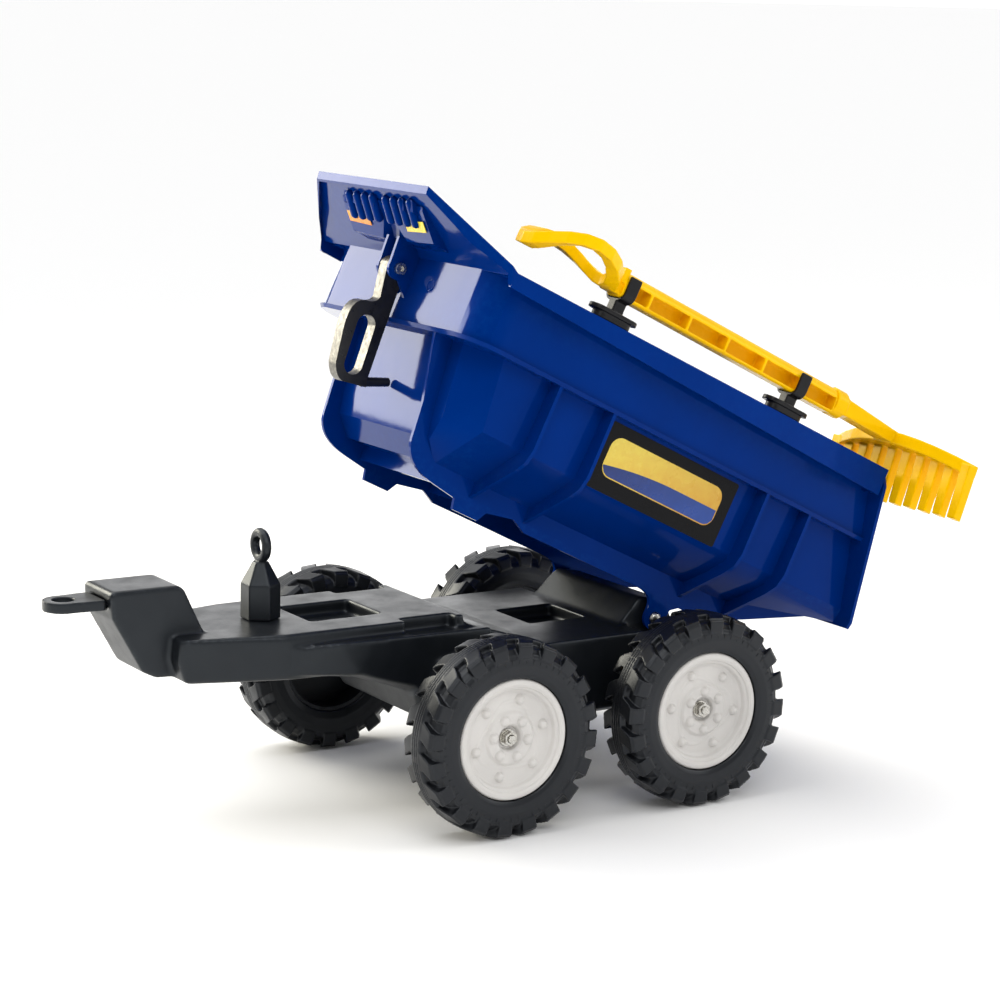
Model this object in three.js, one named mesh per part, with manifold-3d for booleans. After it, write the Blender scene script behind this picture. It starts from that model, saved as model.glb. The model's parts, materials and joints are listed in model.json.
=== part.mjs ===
// Tandem-axle tipping trailer for a ride-on toy tractor, with a rake clipped to its left rim.
// Millimetres. +X points forward to the drawbar eye, +Y to the left, +Z up.
// The origin is on the ground under the middle of the whole model's box.
import * as THREE from 'three';
import { ConvexGeometry } from 'three/addons/geometries/ConvexGeometry.js';
import { mergeVertices } from 'three/addons/utils/BufferGeometryUtils.js';
import Module from 'manifold-3d';

const wasm = await Module();
wasm.setup();

// ---------- driving dimensions ----------
const GAP = 0.3; // clearance left between two pieces that touch
const WHEEL_RADIUS = 100; // over the lugs
const WHEEL_WIDTH = 53;
const TRACK_HALF = 182.5; // wheel centre plane from the middle plane
const WHEELBASE_HALF = 117; // axles are at x = +117 and x = -117
const AXLE_RADIUS = 4;
const AXLE_HALF_LENGTH = 202;
const HUB_TUBE_INNER_Y = 158.5; // where each hub's middle tube ends, towards the chassis
const DECK_HEIGHT = 198; // front deck
const REAR_DECK_HEIGHT = 168;
const REAR_DECK_HALF_WIDTH = 119.5;
const TONGUE_HEIGHT = 228; // underside of the drawbar tongue
const TONGUE_THICKNESS = 10;
const TONGUE_HALF_WIDTH = 22;
const TONGUE_ROOT_X = 436; // where the tongue ends inside the gooseneck
const TONGUE_FRONT_X = 466.3; // front face of the gooseneck, and a gap
const HINGE_X = -127.5;
const HINGE_Z = 173.3;
const HINGE_ROD_RADIUS = 4;
const EAR_RADIUS = 13;
const TIP_ANGLE_DEG = 26; // the tub stands tipped by this much
const PLATE_Y = 90; // middle of each long side plate under the tub, which ends in the hinge ear
const PLATE_THICKNESS = 4;
const WALL = 4; // tub wall
const RIM_HALF_WIDTH = 190;
const RIM_FRONT_HEIGHT = 236.5; // tub frame, above the hinge
const RIM_REAR_HEIGHT = 241;
const FRONT_WALL_X = 386;
const LEDGE_HEIGHT = 163; // where the upper box steps in to the lower one
const KNEE_HEIGHT = 90; // where the lower side walls fold inwards
const FLOOR_HEIGHT = 46; // underside of the tub floor
const LATCH_PIVOT = [406, 214]; // tub frame, forward and up
const LATCH_HALF_THICKNESS = 7.5;
const EAR_THICKNESS = 4;
const LATCH_BOLT_RADIUS = 3.5;
const POST_X = 290;
const POST_STUB = 19; // depth of the post's foot in the deck
const POST_STUB_RADIUS = 12;
const WHEEL_SEGMENTS = 24;
const HUB_BARREL = 57.7; // radius that the tyre sits on
const HUB_SEAT = 9; // nut seat, outwards from the wheel's centre plane
const RIB_STATIONS = [272, 200, -19, -82]; // tub frame, from the hinge forward
const RAKE_Y = 178;
const RAKE_HEIGHT = 278; // tub frame, axis of the shaft
const RAKE_JOINT_X = -34; // tub frame, where the head's socket meets the shaft
const RAKE_RIBS = [18, 71.5, 125, 178.5, 232, 262]; // cross ribs in the shaft, tub frame
const RAKE_HEAD_WIDTH = 222;
const TINES = 10;
const RAKE_SHAFT_RADIUS = 13;
const CLIP_X = [259, 17]; // tub frame, along the rim

const COLOURS = {
  blackPlastic: { color: 0x24272b, roughness: 0.55, metalness: 0 },
  tyreBlack: { color: 0x1d1f22, roughness: 0.6, metalness: 0 },
  bluePlastic: { color: 0x05309a, roughness: 0.25, metalness: 0 },
  whitePlastic: { color: 0xdad8d4, roughness: 0.4, metalness: 0 },
  yellowPlastic: { color: 0xf6c30c, roughness: 0.35, metalness: 0 },
  zincSteel: { color: 0xb9b9b4, roughness: 0.3, metalness: 1 },
  labelBlack: { color: 0x101114, roughness: 0.4, metalness: 0 },
  lampYellow: { color: 0xf3d21a, roughness: 0.35, metalness: 0 },
  lampAmber: { color: 0xf08a14, roughness: 0.35, metalness: 0 },
};

// ---------- solids: joining and cutting ----------
function toSolid(geometry) {
  const plain = geometry.clone();
  plain.deleteAttribute('normal');
  plain.deleteAttribute('uv');
  const merged = mergeVertices(plain, 1e-4);
  const indices = merged.index ? merged.index.array : merged.attributes.position.array.map((_, i) => i);
  const mesh = new wasm.Mesh({
    numProp: 3,
    vertProperties: new Float32Array(merged.attributes.position.array),
    triVerts: new Uint32Array(indices),
  });
  return new wasm.Manifold(mesh);
}

function toGeometry(solid) {
  const mesh = solid.getMesh();
  const geometry = new THREE.BufferGeometry();
  geometry.setAttribute('position', new THREE.BufferAttribute(new Float32Array(mesh.vertProperties), 3));
  geometry.setIndex(new THREE.BufferAttribute(new Uint32Array(mesh.triVerts), 1));
  geometry.computeVertexNormals();
  return geometry;
}

function join(solids) {
  return solids.reduce((sum, solid) => sum.add(solid));
}

// Convex solid around a list of [x, y, z] points.
function hull(points) {
  return toSolid(new ConvexGeometry(points.map((p) => new THREE.Vector3(...p))));
}

// Each point and its mirror image in the middle plane y = 0.
function bothSides(points) {
  return points.flatMap(([x, y, z]) => [[x, y, z], [x, -y, z]]);
}

function box(low, high) {
  const size = high.map((value, i) => value - low[i]);
  const geometry = new THREE.BoxGeometry(...size);
  geometry.translate(...low.map((value, i) => value + size[i] / 2));
  return toSolid(geometry);
}

// Cylinder along 'x', 'y' or 'z' between two positions on that axis.
function rod(axis, centre, from, to, radius, sides = 24, endRadius = radius) {
  const geometry = new THREE.CylinderGeometry(endRadius, radius, to - from, sides);
  if (axis === 'x') geometry.rotateZ(-Math.PI / 2);
  if (axis === 'z') geometry.rotateX(Math.PI / 2);
  const middle = (from + to) / 2;
  const place = { x: [middle, ...centre], y: [centre[0], middle, centre[1]], z: [...centre, middle] };
  geometry.translate(...place[axis]);
  return toSolid(geometry);
}

function shapeOf(points) {
  return new THREE.Shape(points.map(([a, b]) => new THREE.Vector2(a, b)));
}

// Shape drawn in x and z, extruded along y.
function slabAlongY(shape, from, to, curveSegments = 8) {
  const geometry = new THREE.ExtrudeGeometry(shape, { depth: to - from, bevelEnabled: false, curveSegments });
  geometry.rotateX(Math.PI / 2);
  geometry.translate(0, to, 0);
  return toSolid(geometry);
}

// Shape drawn in x and y, extruded along z.
function slabAlongZ(shape, from, to, curveSegments = 8) {
  const geometry = new THREE.ExtrudeGeometry(shape, { depth: to - from, bevelEnabled: false, curveSegments });
  geometry.translate(0, 0, from);
  return toSolid(geometry);
}

// Shape drawn in y and z, extruded along x.
function slabAlongX(shape, from, to, curveSegments = 8) {
  const geometry = new THREE.ExtrudeGeometry(shape, { depth: to - from, bevelEnabled: false, curveSegments });
  geometry.rotateX(Math.PI / 2);
  geometry.rotateZ(Math.PI / 2);
  geometry.translate(from, 0, 0);
  return toSolid(geometry);
}

// Solid of revolution about an axis along y through [x, z], from [radius, y] points.
function lathe(profile, segments, [x, z]) {
  const points = profile.map(([r, y]) => new THREE.Vector2(r, y));
  const turned = signedArea(profile) > 0 ? points : points.reverse();
  const geometry = new THREE.LatheGeometry([...turned, turned[0].clone()], segments);
  geometry.translate(x, 0, z);
  return toSolid(geometry);
}

function signedArea(profile) {
  return profile.reduce((sum, [r, y], i) => {
    const [nextR, nextY] = profile[(i + 1) % profile.length];
    return sum + (r * nextY - nextR * y) / 2;
  }, 0);
}

// Ring or nut about an axis along y, on the left (side 1) or the right (side -1).
function ringOnSide(side, centre, from, to, radius, bore, sides) {
  const [low, high] = side > 0 ? [from, to] : [-to, -from];
  const outer = rod('y', centre, low, high, radius, sides);
  return outer.subtract(rod('y', centre, low - 1, high + 1, bore, 16));
}

function boxOnSide(side, low, high) {
  if (side > 0) return box(low, high);
  return box([low[0], -high[1], low[2]], [high[0], -low[1], high[2]]);
}

function slabOnSide(side, shape, from, to) {
  return side > 0 ? slabAlongY(shape, from, to) : slabAlongY(shape, -to, -from);
}

function onBothSides(make) {
  return join([make(1), make(-1)]);
}

// A 2-D outline of a bar with round ends between two points.
function capsule([x1, y1], [x2, y2], radius, Type = THREE.Shape) {
  const angle = Math.atan2(y2 - y1, x2 - x1);
  const outline = new Type();
  outline.absarc(x2, y2, radius, angle - Math.PI / 2, angle + Math.PI / 2, false);
  outline.absarc(x1, y1, radius, angle + Math.PI / 2, angle + (3 * Math.PI) / 2, false);
  outline.closePath();
  return outline;
}

// ---------- chassis: one blow-moulded body ----------
function noseAndDeck() {
  const front = bothSides([
    [402, 50, 196], [398, 56, DECK_HEIGHT], [404, 50, 176], [398, 54, 156], [392, 50, 153],
  ]);
  const middle = bothSides([[300, 77, DECK_HEIGHT], [300, 80, 194], [300, 80, 158], [300, 76, 152]]);
  const rear = bothSides([[100, 80, DECK_HEIGHT], [100, 80, 150]]);
  return join([hull([...front, ...middle]), hull([...middle, ...rear])]);
}

function sideLedges() {
  const top = 187;
  const front = bothSides([[302, 79, top - 2], [302, 79, 158], [250, 93, top]]);
  const middle = bothSides([[215, 96, top], [225, 94, 153], [225, 75, 147]]);
  const rear = bothSides([[78, 98, top - 1], [78, 98, 108], [78, 75, 96]]);
  return join([hull([...front, ...middle]), hull([...middle, ...rear])]);
}

function axleBody() {
  const halfWidth = REAR_DECK_HALF_WIDTH;
  const top = REAR_DECK_HEIGHT;
  const frontFace = bothSides([[150, 95, top - 12], [165, 93, 125], [150, 80, 96]]);
  const front = bothSides([[100, halfWidth, top], [100, halfWidth, 92], [100, 90, 80]]);
  const rear = bothSides([[-150, halfWidth, top], [-150, halfWidth, 92], [-150, 90, 80]]);
  const ramp = bothSides([[100, 84, 190], [30, 84, top], [100, 84, top - 20], [30, 84, top - 20]]);
  return join([hull([...frontFace, ...front]), hull([...front, ...rear]), hull(ramp)]);
}

// Raised block at the back that carries the hinge rod.
function hingeHump() {
  const halfWidth = 84;
  return hull(bothSides([
    [-88, halfWidth, REAR_DECK_HEIGHT], [-88, halfWidth, 130], [-114, halfWidth - 3, 193],
    [-118, halfWidth - 3, 195], [-146, halfWidth - 3, 190], [-156, halfWidth, 170], [-156, halfWidth, 130],
  ]));
}

function gooseneck() {
  const halfWidth = 32;
  const side = shapeOf([
    [463, 247], [466, 243], [463, 220], [432, 165], [418, 158], [398, 157], [380, 165], [366, 197],
    [388, 243], [394, 247],
  ]);
  return slabAlongY(side, -halfWidth, halfWidth);
}

// Flat tongue that plugs into the front of the gooseneck, with the eye for the tractor's hitch pin.
function drawbarTongue() {
  const eyeX = 501;
  const outline = new THREE.Shape();
  outline.moveTo(TONGUE_FRONT_X, TONGUE_HALF_WIDTH);
  outline.lineTo(TONGUE_FRONT_X, -TONGUE_HALF_WIDTH);
  outline.absarc(eyeX, 0, 20, -1.75, 1.75, false);
  outline.closePath();
  const eye = new THREE.Path();
  eye.absarc(eyeX, 0, 11, 0, 2 * Math.PI, true);
  outline.holes.push(eye);
  const plate = slabAlongZ(outline, TONGUE_HEIGHT, TONGUE_HEIGHT + TONGUE_THICKNESS, 12);
  return plate.add(tenon(0));
}

// The tongue's thinner root inside the gooseneck, or the slot it sits in where it grows by a gap.
function tenon(grow) {
  const halfWidth = TONGUE_HALF_WIDTH - 3 + grow;
  return box(
    [TONGUE_ROOT_X - grow, -halfWidth, TONGUE_HEIGHT + 2 - grow],
    [TONGUE_FRONT_X + 1 + grow, halfWidth, TONGUE_HEIGHT + TONGUE_THICKNESS - 2 + grow],
  );
}

// Sunk panels in the deck, and the recesses that the tub's hinge ears turn in.
function chassisPockets() {
  const depth = 14;
  const above = DECK_HEIGHT + 20;
  const front = box([172, -35, DECK_HEIGHT - depth], [252, 35, above]);
  const rear = box([-79, -34, REAR_DECK_HEIGHT - depth], [-10, 34, above]);
  const sideNotches = onBothSides((side) => boxOnSide(side, [110, 66, 184], [168, 90, above]));
  const earRecesses = onBothSides((side) => boxOnSide(side, [-170, PLATE_Y - 5.5, 157], [-96, 130, above]));
  return join([front, rear, sideNotches, earRecesses]);
}

function chassisBores() {
  const axleHole = AXLE_RADIUS + GAP;
  return join([
    rod('y', [WHEELBASE_HALF, WHEEL_RADIUS], -130, 130, axleHole),
    rod('y', [-WHEELBASE_HALF, WHEEL_RADIUS], -130, 130, axleHole),
    rod('y', [HINGE_X, HINGE_Z], -130, 130, HINGE_ROD_RADIUS + GAP),
    rod('z', [POST_X, 0], DECK_HEIGHT - POST_STUB - 1, DECK_HEIGHT + 10, POST_STUB_RADIUS + GAP, 6),
  ]);
}

function chassis() {
  return join([noseAndDeck(), sideLedges(), axleBody(), hingeHump(), gooseneck()])
    .subtract(chassisPockets())
    .subtract(tenon(GAP))
    .subtract(chassisBores());
}

// Hexagonal post with a ring on top; the latch handle's spur hooks through the ring.
function latchPost() {
  const base = DECK_HEIGHT + GAP;
  const shoulder = 233.5;
  const ring = new THREE.TorusGeometry(12.8, 5.2, 8, 20);
  ring.rotateY(Math.PI / 2);
  ring.translate(POST_X, 0, 272);
  return join([
    rod('z', [POST_X, 0], base, shoulder, 20.2, 6),
    rod('z', [POST_X, 0], shoulder, 256, 20.2, 6, 8),
    rod('z', [POST_X, 0], DECK_HEIGHT - POST_STUB, base + 1, POST_STUB_RADIUS, 6),
    toSolid(ring),
  ]);
}

// ---------- axles, hinge rod and fasteners ----------
function axle(x) {
  return rod('y', [x, WHEEL_RADIUS], -AXLE_HALF_LENGTH, AXLE_HALF_LENGTH, AXLE_RADIUS);
}

// Sleeve between the chassis and a wheel, from the inner end outwards.
function axleSpacer(x, side) {
  const from = REAR_DECK_HALF_WIDTH + GAP;
  const to = HUB_TUBE_INNER_Y - GAP;
  return ringOnSide(side, [x, WHEEL_RADIUS], from, to, 8, AXLE_RADIUS + GAP, 16);
}

function axleWasher(x, side) {
  const from = TRACK_HALF + HUB_SEAT + GAP;
  return ringOnSide(side, [x, WHEEL_RADIUS], from, from + 1.2, 9, AXLE_RADIUS + GAP, 20);
}

function axleNut(x, side) {
  const from = TRACK_HALF + HUB_SEAT + 2 * GAP + 1.2;
  return ringOnSide(side, [x, WHEEL_RADIUS], from, from + 6.5, 7.5, AXLE_RADIUS + GAP, 6);
}

function hingeRod() {
  const half = PLATE_Y + PLATE_THICKNESS / 2 + 2.5;
  return rod('y', [HINGE_X, HINGE_Z], -half, half, HINGE_ROD_RADIUS);
}

// Domed push-on cap over one end of the hinge rod.
function hingeCap(side) {
  const from = PLATE_Y + PLATE_THICKNESS / 2 + GAP;
  const bore = HINGE_ROD_RADIUS + GAP;
  const profile = [
    [0, from + 2.7], [bore, from + 2.7], [bore, from], [7, from], [7, from + 2], [5.2, from + 4.2],
    [2.8, from + 5.2], [0, from + 5.5],
  ];
  return lathe(profile.map(([r, y]) => [r, y * side]), 16, [HINGE_X, HINGE_Z]);
}

function latchBolt() {
  const headFrom = LATCH_HALF_THICKNESS + 1 + EAR_THICKNESS + GAP;
  const shank = rod('y', LATCH_PIVOT, -headFrom - 6.5, headFrom + 1, LATCH_BOLT_RADIUS, 16);
  const head = rod('y', LATCH_PIVOT, headFrom, headFrom + 5, 6, 20);
  const socket = rod('y', LATCH_PIVOT, headFrom + 2.5, headFrom + 6, 3, 6);
  return shank.add(head).subtract(socket);
}

function latchNut() {
  const from = LATCH_HALF_THICKNESS + 1 + EAR_THICKNESS + GAP;
  return ringOnSide(-1, LATCH_PIVOT, from, from + 5, 6.5, LATCH_BOLT_RADIUS + GAP, 6);
}

// ---------- wheels ----------
// White centre: rim lip, dish, raised middle with a seat for the nut, and a tube that runs on the axle.
function hubCap(x, side) {
  const bore = AXLE_RADIUS + GAP;
  const tubeEnd = HUB_TUBE_INNER_Y - TRACK_HALF;
  const profile = [
    [bore, tubeEnd], [9, tubeEnd], [9, 4], [46, 9], [54, 9], [54, -19], [HUB_BARREL, -20],
    [HUB_BARREL, 18.6], [HUB_BARREL + 3.6, 18.6], [HUB_BARREL + 3.6, 23], [53, 22], [49, 13.5], [30, 13.5],
    [26, 16.5], [14, 16.5], [12, HUB_SEAT], [bore, HUB_SEAT],
  ];
  return lathe(profile.map(([r, y]) => [r, (y + TRACK_HALF) * side]), WHEEL_SEGMENTS, [x, WHEEL_RADIUS]);
}

function tyre(x, side) {
  const bore = HUB_BARREL + GAP;
  const lip = HUB_BARREL + 3.6 + GAP;
  const half = WHEEL_WIDTH / 2;
  const shoulder = WHEEL_RADIUS - 3;
  const profile = [
    [bore, -half + 4], [66, -half + 1], [80, -half], [shoulder, -half + 5], [WHEEL_RADIUS, -half + 13],
    [WHEEL_RADIUS, half - 13], [shoulder, half - 5], [80, half], [66, half - 1.5], [lip, half - 3.5],
    [lip, 18.3], [bore, 18.3],
  ];
  return lathe(profile.map(([r, y]) => [r, (y + TRACK_HALF) * side]), WHEEL_SEGMENTS, [x, WHEEL_RADIUS]);
}

// ---------- tub, in its own frame: origin on the hinge, lowered attitude ----------
// The open back end lies in a plane that slopes rearwards going down.
function tailX(height) {
  return -139.5 - (231 - height) * 0.366;
}

function rimTop(x) {
  const along = (x - tailX(RIM_REAR_HEIGHT)) / (FRONT_WALL_X - tailX(RIM_REAR_HEIGHT));
  return RIM_REAR_HEIGHT + (RIM_FRONT_HEIGHT - RIM_REAR_HEIGHT) * along;
}

// Upper box of the tub, or its inside where `inset` is the wall; `past` runs it out through the back.
function upperBox(inset, past, bottom, top) {
  const ring = (z, lean) => {
    const front = FRONT_WALL_X + lean - inset;
    const side = 164 + lean - inset;
    return [
      [front, 130 - inset / 2, z], [front - 6, 148 - inset, z], [front - 20, side - 3, z],
      [front - 34, side, z], [tailX(z) - past, side, z],
    ];
  };
  return hull(bothSides([...ring(bottom, 0), ...ring(top, 3)]));
}

function lowerBox(inset, past, top) {
  const floor = FLOOR_HEIGHT + inset;
  const tailFloor = 76 + inset;
  const floorRise = 0.237;
  const ring = (z, frontX, sideY) => [
    [frontX - inset, 112 - inset / 2, z], [frontX - 28 - inset, sideY - inset, z],
    [tailX(z) - past, sideY - inset, z],
  ];
  return hull(bothSides([
    ...ring(top, 364, wallY(top)), ...ring(KNEE_HEIGHT, 352, wallY(KNEE_HEIGHT)),
    [346 - inset, 96, 66], [326, 90, floor], [-62, 90, floor],
    [tailX(tailFloor) - past, 138 - inset, tailFloor + past * floorRise],
  ]));
}

// Outside face of the lower side wall at a height.
function wallY(height) {
  return 146 + ((height - KNEE_HEIGHT) / (LEDGE_HEIGHT - KNEE_HEIGHT)) * 2;
}

// Flange with a turned-down lip along both sides, and the hood that rises over the front.
function rimAndHood() {
  const skin = 3.5;
  const tail = tailX(RIM_REAR_HEIGHT);
  const front = FRONT_WALL_X + 2;
  const rim = (y, drop, lipEnd, back) => hull(bothSides([
    [front, y, rimTop(front) - drop], [tail + back, y, rimTop(tail) - drop],
    [front, y, rimTop(front) - lipEnd], [tail + back, y, rimTop(tail) - lipEnd - 14],
  ]));
  const hood = (shrink, lipEnd) => hull(bothSides([
    [FRONT_WALL_X - 3 + shrink, RIM_HALF_WIDTH - shrink, 235 - shrink],
    [394, RIM_HALF_WIDTH - shrink, 240.5 - shrink],
    [468 - shrink, 110 - shrink / 2, 283 - shrink],
    [467 - shrink, 110 - shrink / 2, 275 - lipEnd],
    [387, RIM_HALF_WIDTH - shrink, 222 - lipEnd],
    [FRONT_WALL_X - 3 + shrink, RIM_HALF_WIDTH - shrink, 221 - lipEnd],
  ]));
  const outer = rim(RIM_HALF_WIDTH, 0, 15, 0).add(hood(0, 0));
  const hollow = rim(RIM_HALF_WIDTH - skin, skin, 60, WALL).add(hood(skin, 60));
  return outer.subtract(hollow);
}

// Outward flange round the open back end.
function tailFlange() {
  const corners = [[RIM_HALF_WIDTH, 224], [RIM_HALF_WIDTH - 4, 235], [RIM_HALF_WIDTH - 14, RIM_REAR_HEIGHT],
    [163, 80], [158, 73]];
  const placed = corners.flatMap(([y, z]) => [[tailX(z), y, z], [tailX(z) + WALL, y, z]]);
  return hull(bothSides(placed));
}

// One rib plate across the side of the tub at station x.
function sideRib(x, side) {
  const profile = [
    [PLATE_Y, LEDGE_HEIGHT + 2], [165, LEDGE_HEIGHT + 2], [165, 94], [160, 80], [148, 69],
    [95, 33], [PLATE_Y, 30],
  ];
  return slabAlongX(shapeOf(profile.map(([y, z]) => [y * side, z])), x - 2, x + 2);
}

// Long plate under one side of the tub: front edge, foot, underside and hinge ear.
function longPlate(side) {
  const outline = new THREE.Shape();
  outline.moveTo(FRONT_WALL_X, LEDGE_HEIGHT + 2);
  outline.lineTo(367, 97);
  outline.lineTo(362, 58);
  outline.quadraticCurveTo(357, 33, 318, 28);
  outline.lineTo(289, 24);
  outline.lineTo(286, 13);
  outline.lineTo(254, 13);
  outline.lineTo(247, 24);
  outline.lineTo(213, 30);
  outline.lineTo(196, 22);
  outline.lineTo(36, 22);
  outline.quadraticCurveTo(14, 22, EAR_RADIUS, 8);
  outline.lineTo(EAR_RADIUS, 0);
  outline.absarc(0, 0, EAR_RADIUS, 0, -Math.PI, true);
  outline.lineTo(-15, 14);
  outline.lineTo(-24, 20);
  outline.lineTo(-65, 21);
  outline.lineTo(-111, 38.5);
  outline.lineTo(tailX(74), 74);
  outline.lineTo(tailX(KNEE_HEIGHT), KNEE_HEIGHT);
  outline.lineTo(300, KNEE_HEIGHT);
  outline.lineTo(340, LEDGE_HEIGHT + 2);
  outline.closePath();
  return slabOnSide(side, outline, PLATE_Y - PLATE_THICKNESS / 2, PLATE_Y + PLATE_THICKNESS / 2);
}

// Cross ribs under the floor, between the two long plates.
function floorRibs() {
  const inner = PLATE_Y - 1;
  return join([300, 205, 58].map((x) => box([x - 2, -inner, 31], [x + 2, inner, FLOOR_HEIGHT + 2])));
}

// Lamp block under the hood, with four grille bars on its upper edge.
function lampPod(side) {
  const place = (points) => points.map(([x, y, z]) => [x, y * side, z]);
  const body = hull(place([
    [385, 2.5, 262], [385, 80, 262], [385, 80, 240], [385, 24, 240], [448, 2.5, 268], [448, 80, 268],
    [440, 2.5, 262], [446, 80, 264], [420, 80, 241], [416, 24, 240],
  ]));
  const bars = [12, 30, 48, 66].map((y) => hull(place([
    [448, y - 3, 270], [448, y + 3, 270], [455, y - 2, 271], [455, y + 2, 271], [449, y - 3, 261],
    [449, y + 3, 261], [440, y - 3, 260], [440, y + 3, 260],
  ])));
  return join([body, ...bars]);
}

// Clevis ear that holds one side of the latch handle's bolt.
function latchEar(side) {
  const [pivotX, pivotZ] = LATCH_PIVOT;
  const ear = new THREE.Shape();
  ear.moveTo(385, 243);
  ear.lineTo(385, 188);
  ear.lineTo(pivotX - 5, pivotZ - 11);
  ear.absarc(pivotX, pivotZ, 12, -2, 0.2, false);
  ear.lineTo(420, 243);
  ear.closePath();
  const inner = LATCH_HALF_THICKNESS + 1;
  return slabOnSide(side, ear, inner, inner + EAR_THICKNESS);
}

function tubBores() {
  return join([
    rod('y', [0, 0], -120, 120, HINGE_ROD_RADIUS + GAP),
    rod('y', LATCH_PIVOT, -40, 40, LATCH_BOLT_RADIUS + GAP),
  ]);
}

function tub() {
  const aboveRim = RIM_REAR_HEIGHT + 40;
  const shell = [
    upperBox(0, 0, LEDGE_HEIGHT, RIM_FRONT_HEIGHT - 1),
    upperBox(-1.5, 0, LEDGE_HEIGHT, LEDGE_HEIGHT + 4),
    lowerBox(0, 0, LEDGE_HEIGHT + 3),
  ];
  const inside = [
    upperBox(WALL, 40, LEDGE_HEIGHT + WALL, aboveRim),
    lowerBox(WALL, 40, LEDGE_HEIGHT + WALL + 1),
  ];
  const ribs = onBothSides((side) => join(RIB_STATIONS.map((x) => sideRib(x, side))));
  const parts = [...shell, rimAndHood(), tailFlange(), ribs, onBothSides(longPlate), floorRibs()];
  const hollowed = join(parts).subtract(join(inside));
  return join([hollowed, onBothSides(lampPod), onBothSides(latchEar)]).subtract(tubBores());
}

// ---------- latch handle ----------
function latchHandle() {
  const [pivotX, pivotZ] = LATCH_PIVOT;
  const outline = new THREE.Shape();
  outline.moveTo(384, 92.5);
  outline.lineTo(411, 88);
  outline.quadraticCurveTo(420, 88, 427, 102);
  outline.lineTo(434, 134);
  outline.quadraticCurveTo(441, 166, 424, 171);
  outline.quadraticCurveTo(410, 173, 410, 181);
  outline.lineTo(pivotX + 11.4, pivotZ);
  outline.absarc(pivotX, pivotZ, 11.4, 0, Math.PI, false);
  outline.lineTo(393, 184);
  outline.lineTo(390, 152.5);
  outline.lineTo(386, 101);
  outline.closePath();
  outline.holes.push(capsule([407.5, 108], [412, 149], 10.5, THREE.Path));
  const loop = slabAlongY(outline, -LATCH_HALF_THICKNESS, LATCH_HALF_THICKNESS, 6);
  const spur = new THREE.CylinderGeometry(4.6, 5, 32, 12);
  spur.rotateX(Math.PI / 2);
  spur.rotateY(THREE.MathUtils.degToRad(-68));
  spur.translate(373, 0, 102);
  const bore = rod('y', LATCH_PIVOT, -20, 20, LATCH_BOLT_RADIUS + GAP, 16);
  return loop.add(toSolid(spur)).subtract(bore);
}

// ---------- stickers ----------
function sideDecal(side) {
  const corners = [[8, 88], [8, 160], [187, 88], [187, 160]];
  const proud = [GAP, GAP + 0.6];
  return hull(corners.flatMap(([x, z]) => proud.map((gap) => [x, (wallY(z) + gap) * side, z])));
}

function lampDecal(side) {
  const corners = [[434.6, 36, 255.8], [437.7, 76, 256.6], [426, 36, 248.3], [429.1, 76, 249]];
  const lift = [1, 1.6];
  return hull(corners.flatMap(([x, y, z]) => lift.map((d) => [x + 0.66 * d, y * side, z - 0.75 * d])));
}

// ---------- rake and its two clips, in the tub's frame ----------
// Outline of the shaft, or of the fork round it, in y and z: round on top, rounded corners below.
function gripOutline(grow, top) {
  const side = RAKE_SHAFT_RADIUS + grow;
  const corner = 6 + grow;
  const low = RAKE_HEIGHT - 8;
  const left = RAKE_Y - side + corner;
  const right = RAKE_Y + side - corner;
  const outline = new THREE.Shape();
  outline.moveTo(RAKE_Y + side, top);
  outline.lineTo(RAKE_Y + side, low);
  outline.absarc(right, low, corner, 0, -Math.PI / 2, true);
  outline.absarc(left, low, corner, -Math.PI / 2, -Math.PI, true);
  outline.lineTo(RAKE_Y - side, top);
  return outline;
}

// Snap clip: foot in the rim, flange, stem, and an open fork that holds the rake's shaft.
function toolClip(x) {
  const foot = rimTop(x - 29) + GAP;
  const flange = foot + 7;
  const base = slabAlongZ(capsule([x - 14, RAKE_Y], [x + 14, RAKE_Y], 9), foot, flange + 1, 6);
  const plate = slabAlongZ(capsule([x - 18, RAKE_Y], [x + 18, RAKE_Y], 11), flange, flange + 4.5, 6);
  const stem = box([x - 7, RAKE_Y - 6, flange + 3], [x + 7, RAKE_Y + 6, RAKE_HEIGHT - 15.5]);
  const top = RAKE_HEIGHT + 9;
  const outer = slabAlongX(gripOutline(GAP + 3, top), x - 7, x + 7, 6);
  const inner = slabAlongX(gripOutline(GAP, top + 5), x - 9, x + 9, 6);
  return join([base, plate, stem, outer]).subtract(inner);
}

// Shaft: a channel open to the left, with cross ribs in it.
function rakeHandle() {
  const wall = 3.5;
  const from = RAKE_JOINT_X;
  const to = 268;
  const outline = gripOutline(0, RAKE_HEIGHT);
  outline.absarc(RAKE_Y, RAKE_HEIGHT, RAKE_SHAFT_RADIUS, Math.PI, 0, true);
  const bar = slabAlongX(outline, from, to, 8);
  const far = RAKE_Y - 3;
  const near = RAKE_Y + RAKE_SHAFT_RADIUS + 5;
  const floor = RAKE_HEIGHT - 14 + wall;
  const stations = [from, ...RAKE_RIBS];
  const pockets = stations.slice(1).map((station, i) => (
    hull([stations[i] + 1.5, station - 1.5].flatMap((x) => [
      [x, far, floor], [x, near, floor], [x, far, RAKE_HEIGHT + 3], [x, near, RAKE_HEIGHT],
      [x, RAKE_Y, RAKE_HEIGHT + 8],
    ]))
  ));
  const lug = box([262, RAKE_Y - 9, RAKE_HEIGHT - 12], [280, RAKE_Y + 9, RAKE_HEIGHT + 4]);
  const stop = box([266, RAKE_Y - 4, RAKE_HEIGHT], [273, RAKE_Y + 12, RAKE_HEIGHT + 15]);
  return join([bar.subtract(join(pockets)), gripRing(), lug, stop]);
}

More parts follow.
